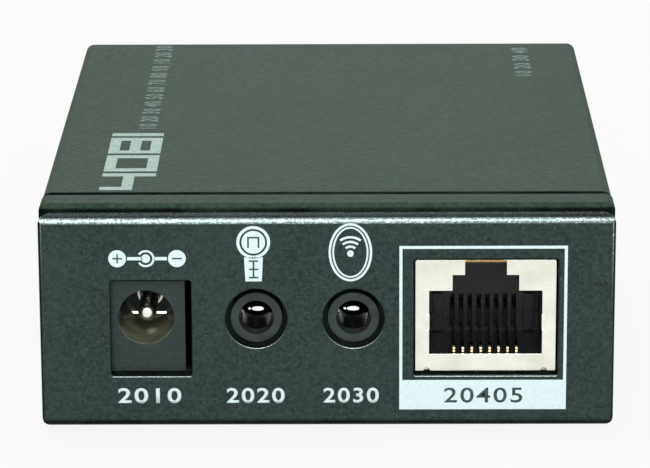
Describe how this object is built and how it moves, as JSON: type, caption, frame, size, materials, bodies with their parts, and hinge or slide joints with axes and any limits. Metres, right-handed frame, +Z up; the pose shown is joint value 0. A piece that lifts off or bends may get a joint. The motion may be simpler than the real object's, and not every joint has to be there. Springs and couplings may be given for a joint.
{
  "type": "video signal extender box",
  "caption": "Small sheet-metal signal extender box with a power inlet, infrared jacks, a shielded network socket in front and a video socket behind.",
  "frame": {"origin": "on the ground under the middle of the box", "axes": "+X to the right across the front panel, +Y from the front panel to the rear panel, +Z up"},
  "size_m": [0.065, 0.08, 0.0275],
  "materials": {
    "panel_coat": "fine-textured matt powder coat",
    "cover_coat": "fine-textured matt powder coat",
    "steel": "zinc plated",
    "rubber": "matt",
    "board": "solder mask over glass fibre",
    "jack_plastic": "satin moulding",
    "black_plastic": "satin moulding",
    "nickel": "bright nickel plate",
    "gold": "gold flash",
    "lamp_red": "clear tinted resin",
    "lamp_green": "clear tinted resin",
    "chip_black": "moulded",
    "pad": "soft pad",
    "fin_metal": "extruded",
    "can_metal": "drawn can",
    "ferrite": "sintered",
    "ceramic": "fired",
    "resistor_film": "glazed"
  },
  "bodies": {
    "case": {"base_tray": "panel_coat", "front_collar": "cover_coat", "top_cover": "cover_coat", "cover_screws": "steel", "standoffs": "steel", "board_screws": "steel", "rubber_feet": "rubber", "main_board": "board", "dc_jack_housing": "jack_plastic", "left_jack_housing": "jack_plastic", "right_jack_housing": "jack_plastic", "network_housing": "black_plastic", "video_insulator": "black_plastic", "lamp_holders": "black_plastic", "dc_centre_pin": "nickel", "dc_spring_terminal": "nickel", "left_jack_sleeve": "nickel", "right_jack_sleeve": "nickel", "jack_terminals": "nickel", "network_shield": "nickel", "video_shell": "nickel", "network_pins": "gold", "video_contacts": "gold", "power_lamp": "lamp_red", "link_lamp": "lamp_green", "receiver_chip": "chip_black", "driver_chip": "chip_black", "memory_chip": "chip_black", "isolation_transformer": "chip_black", "voltage_regulator": "chip_black", "input_diode": "chip_black", "thermal_pad": "pad", "heat_sink": "fin_metal", "crystal_can": "can_metal", "electrolytic_capacitors": "can_metal", "power_inductor": "ferrite", "ceramic_capacitors": "ceramic", "chip_resistors": "resistor_film"},
    "dc_spring": {"dc_spring_contact": "nickel"},
    "left_spring": {"left_jack_spring": "gold"},
    "right_spring": {"right_jack_spring": "gold"},
    "network_wires": {"network_contacts": "gold"}
  },
  "joints": [
    {"name": "dc_spring_flex", "type": "hinge", "parent": "case", "child": "dc_spring", "pos_m": [-0.0205, -0.02895, 0.01758], "axis": [-1, 0, 0], "range_deg": [0, 5], "stiffness_Nm_per_rad": 0.2},
    {"name": "left_jack_spring_flex", "type": "hinge", "parent": "case", "child": "left_spring", "pos_m": [-0.008, -0.0246, 0.0179], "axis": [-1, 0, 0], "range_deg": [0, 8], "stiffness_Nm_per_rad": 0.05},
    {"name": "right_jack_spring_flex", "type": "hinge", "parent": "case", "child": "right_spring", "pos_m": [0.003, -0.0246, 0.0179], "axis": [-1, 0, 0], "range_deg": [0, 8], "stiffness_Nm_per_rad": 0.05},
    {"name": "network_contact_flex", "type": "hinge", "parent": "case", "child": "network_wires", "pos_m": [0.01795, -0.03765, 0.0104], "axis": [-1, 0, 0], "range_deg": [0, 11], "stiffness_Nm_per_rad": 0.3}
  ]
}
